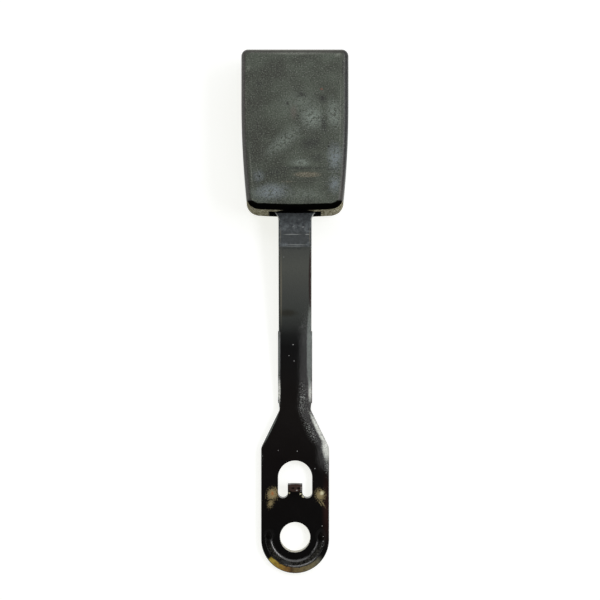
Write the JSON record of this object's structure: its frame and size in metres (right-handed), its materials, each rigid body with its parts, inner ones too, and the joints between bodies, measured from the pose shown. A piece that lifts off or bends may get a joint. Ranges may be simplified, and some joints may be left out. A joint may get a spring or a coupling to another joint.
{
  "type": "seat belt buckle",
  "caption": "Seat belt buckle on a rigid steel stalk: plain two-part housing with an end release button and sprung latch, and a flat anchor plate with a bolt hole and an anti-rotation tab.",
  "frame": {"origin": "centre of the anchor plate's bolt hole, at the plate's mounting face", "axes": "+Y up the stalk to the mouth for the tongue, +Z the way the mounting face and the plain back cover face, +X to the right as the back cover is looked at with the tongue end up"},
  "size_m": [0.0436, 0.2143, 0.021],
  "materials": {
    "black_paint": "gloss",
    "zinc_steel": "satin",
    "bright_steel": "satin",
    "spring_steel": "satin",
    "black_screw": "satin",
    "black_plastic": "satin",
    "inner_plastic": "matte",
    "white_plastic": "matte",
    "red_plastic": "gloss"
  },
  "bodies": {
    "housing": {"anchor_stalk": "black_paint", "latch_frame": "zinc_steel", "frame_rivets": "zinc_steel", "tongue_bridge": "zinc_steel", "latch_pin": "bright_steel", "pin_clips": "bright_steel", "ejector_spring_rod": "bright_steel", "ejector_spring": "spring_steel", "latch_spring_left": "spring_steel", "latch_spring_right": "spring_steel", "button_spring_left": "spring_steel", "button_spring_right": "spring_steel", "tongue_guide": "inner_plastic", "front_cover": "black_plastic", "back_cover": "black_plastic", "cover_screws": "black_screw"},
    "button": {"press_button": "red_plastic", "release_slider": "inner_plastic"},
    "latch": {"latch_plate": "zinc_steel"},
    "ejector": {"ejector": "white_plastic"}
  },
  "joints": [
    {"name": "button_press", "type": "slide", "parent": "housing", "child": "button", "axis": [0, -1, 0], "range_m": [0, 0.0055], "stiffness_N_per_m": 500, "springref_m": -0.006, "deforming": ["button_spring_left", "button_spring_right"]},
    {"name": "latch_tilt", "type": "hinge", "parent": "housing", "child": "latch", "pos_m": [0, 0.155, 0.0115], "axis": [1, 0, 0], "range_deg": [0, 14], "stiffness_Nm_per_rad": 0.1, "springref_deg": -11.46, "deforming": ["latch_spring_left", "latch_spring_right"]},
    {"name": "ejector_slide", "type": "slide", "parent": "housing", "child": "ejector", "axis": [0, -1, 0], "range_m": [0, 0.0085], "stiffness_N_per_m": 300, "springref_m": -0.01, "deforming": ["ejector_spring"]}
  ],
  "couplings": [
    {"joint": "latch_tilt", "follows": "button_press", "rad_per_m": 44.42}
  ]
}
